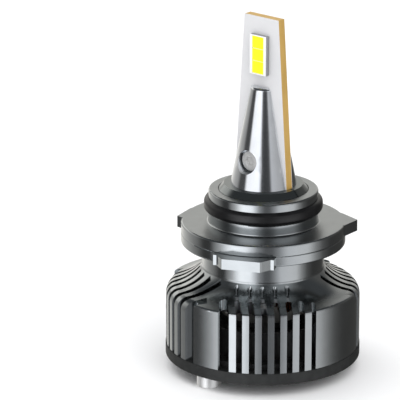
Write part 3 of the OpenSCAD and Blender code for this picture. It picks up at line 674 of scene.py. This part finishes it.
# Brightness of the studio's soft boxes and flags by direction, in degrees to the right of the
# viewer: as upright walls reflect them (low), as the tapered post does (post), and as the level
# faces and the shoulder do (top)
LOW_BANDS = (
    (-180, 0.85), (-158, 0.95), (-125, 0.5), (-108, 0.3), (-92, 0.07), (-79, 0.06), (-70, 0.4), (-61, 0.7),
    (-48, 1.7), (-43, 1.95), (-24, 1.8), (-17, 1.2), (-8, 0.45), (3, 0.16), (13, 0.17), (23, 0.45), (34, 0.9),
    (50, 1.0), (66, 0.95), (79, 0.42), (92, 0.14), (108, 0.06), (150, 0.07), (168, 0.3), (180, 0.85),
)
POST_BANDS = (
    (-180, 0.95), (-165, 0.95), (-146, 0.5), (-106, 0.36), (-92, 0.08), (-70, 0.07), (-61, 1.15), (-16, 1.25),
    (-7, 0.04), (22, 0.05), (31, 0.55), (68, 0.42), (84, 0.08), (145, 0.07), (165, 0.7), (180, 0.95),
)
TOP_BANDS = (
    (-180, 1.0), (-166, 1.2), (-120, 0.8), (-92, 0.15), (-79, 0.06), (-70, 0.3), (-61, 0.6), (-46, 1.8),
    (-24, 1.8), (-8, 0.6), (3, 0.15), (13, 0.15), (23, 0.4), (34, 0.9), (66, 0.9), (79, 0.35), (92, 0.1),
    (140, 0.15), (165, 0.7), (180, 1.0),
)
LESS_RED, MORE_BLUE = 0.02, 0.05    # shares of a band's level: in front as named, behind the reverse

# Where the bands and the roof take over, as the upward part of a direction
POST_START = (-0.22, -0.02)
TOP_START = (0.07, 0.2)
ROOF_START = (0.42, 0.62)

ROOF = (0.075, 0.08, 0.085)
DOME = (0.98, 0.985, 1.0)           # seen by matt surfaces
BACKDROP = (0.985, 0.985, 0.985)    # seen behind the bulb

# Soft lights: name, place and width in metres, and power in watts
LIGHTS = (
    ("key", (-0.45, 0.25, 0.75), 0.7, 2.0),
    ("fill", (0.25, -0.6, 0.7), 0.9, 4.0),
)


def soft_light(name, place, size, power):
    """A round soft light that faces the bulb, and that its plating doesn't mirror."""
    light = bpy.data.lights.new(name, "AREA")
    light.shape = "DISK"
    light.size = size
    light.energy = power
    lamp = bpy.data.objects.new(name, light)
    bpy.context.scene.collection.objects.link(lamp)
    lamp.location = place
    lamp.rotation_euler = (-Vector(place)).to_track_quat("-Z", "Y").to_euler()
    lamp.visible_glossy = False


def wall_bands(sheet, around, bands):
    """A ring of tones round the studio, slightly blue in front and slightly yellow behind."""
    stops = []
    for angle, level in bands:
        cool = math.cos(math.radians(angle)) * level
        stops.append(((angle + 180) / 360, (level - LESS_RED * cool, level, level + MORE_BLUE * cool)))
    return sheet.node("ShaderNodeValToRGB", {"stops": stops}, {"Fac": around})


def studio_world(scene):
    """Soft boxes and dark flags by direction. Angles count from the front, to the right, in degrees."""
    world = bpy.data.worlds.new("studio")
    world.use_nodes = True
    scene.world = world
    sheet = Sheet(world.node_tree)
    x, y, z = sheet.split("Generated")
    turn = math.radians(VIEW_TURN)
    front = -math.sin(turn) * x - math.cos(turn) * y
    right = math.cos(turn) * x - math.sin(turn) * y
    around = right.angle_to(front) / (2 * math.pi) + 0.5
    low, post, top = (wall_bands(sheet, around, bands) for bands in (LOW_BANDS, POST_BANDS, TOP_BANDS))
    walls = sheet.blend(z.ramp_up(*TOP_START), sheet.blend(z.ramp_up(*POST_START), low, post), top)
    mirrored = sheet.blend(z.ramp_up(*ROOF_START), walls, ROOF)
    lit = sheet.blend(sheet.node("ShaderNodeLightPath", out="Is Diffuse Ray"), mirrored, DOME)
    shown = sheet.blend(sheet.node("ShaderNodeLightPath", out="Is Camera Ray"), lit, BACKDROP)
    background = sheet.node("ShaderNodeBackground", None, {"Color": shown, "Strength": 1.0})
    sheet.node("ShaderNodeOutputWorld", None, {"Surface": background})


class BULB_OT_stage(bpy.types.Operator):
    """Makes the floor, the soft lights and the camera"""
    bl_idname = "bulb.stage"
    bl_label = "Make the stage"

    def execute(self, context):
        scene = context.scene
        scene.view_settings.view_transform = "Standard"
        self.floor(scene)
        studio_world(scene)
        for light in LIGHTS:
            soft_light(*light)
        self.camera(scene)
        return {"FINISHED"}

    @staticmethod
    def floor(scene):
        """Lays the floor under the bulb's lowest point. The plating doesn't mirror it."""
        setup = scene.bulb_stage
        half = setup.floor_size
        low = CAD_BOX[0][2]
        corners = [(-half, -half, low), (half, -half, low), (half, half, low), (-half, half, low)]
        mesh = bpy.data.meshes.new("floor")
        mesh.from_pydata(corners, [], [(0, 1, 2, 3)])
        floor = bpy.data.objects.new("floor", mesh)
        scene.collection.objects.link(floor)
        mesh.materials.append(surface("floor_paint", lambda sheet: tuple(setup.floor), lambda sheet: 0.6))
        floor.visible_glossy = False

    @staticmethod
    def camera(scene):
        """Places the camera. It looks past the bulb's origin by VIEW_ASIDE and VIEW_ABOVE."""
        turn, rise = math.radians(VIEW_TURN), math.radians(VIEW_RISE)
        towards = Vector((-math.sin(turn) * math.cos(rise), -math.cos(turn) * math.cos(rise), math.sin(rise)))
        side = Vector((math.cos(turn), -math.sin(turn), 0))
        up = side.cross(-towards)
        aim = -towards - math.tan(math.radians(VIEW_ASIDE)) * side + math.tan(math.radians(VIEW_ABOVE)) * up
        data = bpy.data.cameras.new("camera")
        data.lens = LENS
        data.clip_start = 0.01
        camera = bpy.data.objects.new("camera", data)
        scene.collection.objects.link(camera)
        camera.location = towards * VIEW_DISTANCE
        camera.rotation_euler = aim.to_track_quat("-Z", "Y").to_euler()
        scene.camera = camera


# ---- Add-on -------------------------------------------------------------------------------

STEPS = (BULB_OT_stage, BULB_OT_finish, BULB_OT_led, BULB_OT_screws)


class BULB_PT_panel(bpy.types.Panel):
    """The bulb's steps"""
    bl_label = "Headlight bulb"
    bl_idname = "BULB_PT_panel"
    bl_space_type = "VIEW_3D"
    bl_region_type = "UI"
    bl_category = "Bulb"

    def draw(self, context):
        for step in STEPS:
            self.layout.operator(step.bl_idname)


CLASSES = (BulbFinish, BulbStage, *STEPS, BULB_PT_panel)


def register():
    for kind in CLASSES:
        bpy.utils.register_class(kind)
    bpy.types.Scene.bulb_finish = bpy.props.PointerProperty(type=BulbFinish)
    bpy.types.Scene.bulb_stage = bpy.props.PointerProperty(type=BulbStage)


def unregister():
    del bpy.types.Scene.bulb_stage
    del bpy.types.Scene.bulb_finish
    for kind in reversed(CLASSES):
        bpy.utils.unregister_class(kind)


def main():
    register()
    for step in STEPS:
        area, name = step.bl_idname.split(".")
        getattr(getattr(bpy.ops, area), name)()


if __name__ == "__main__":
    main()
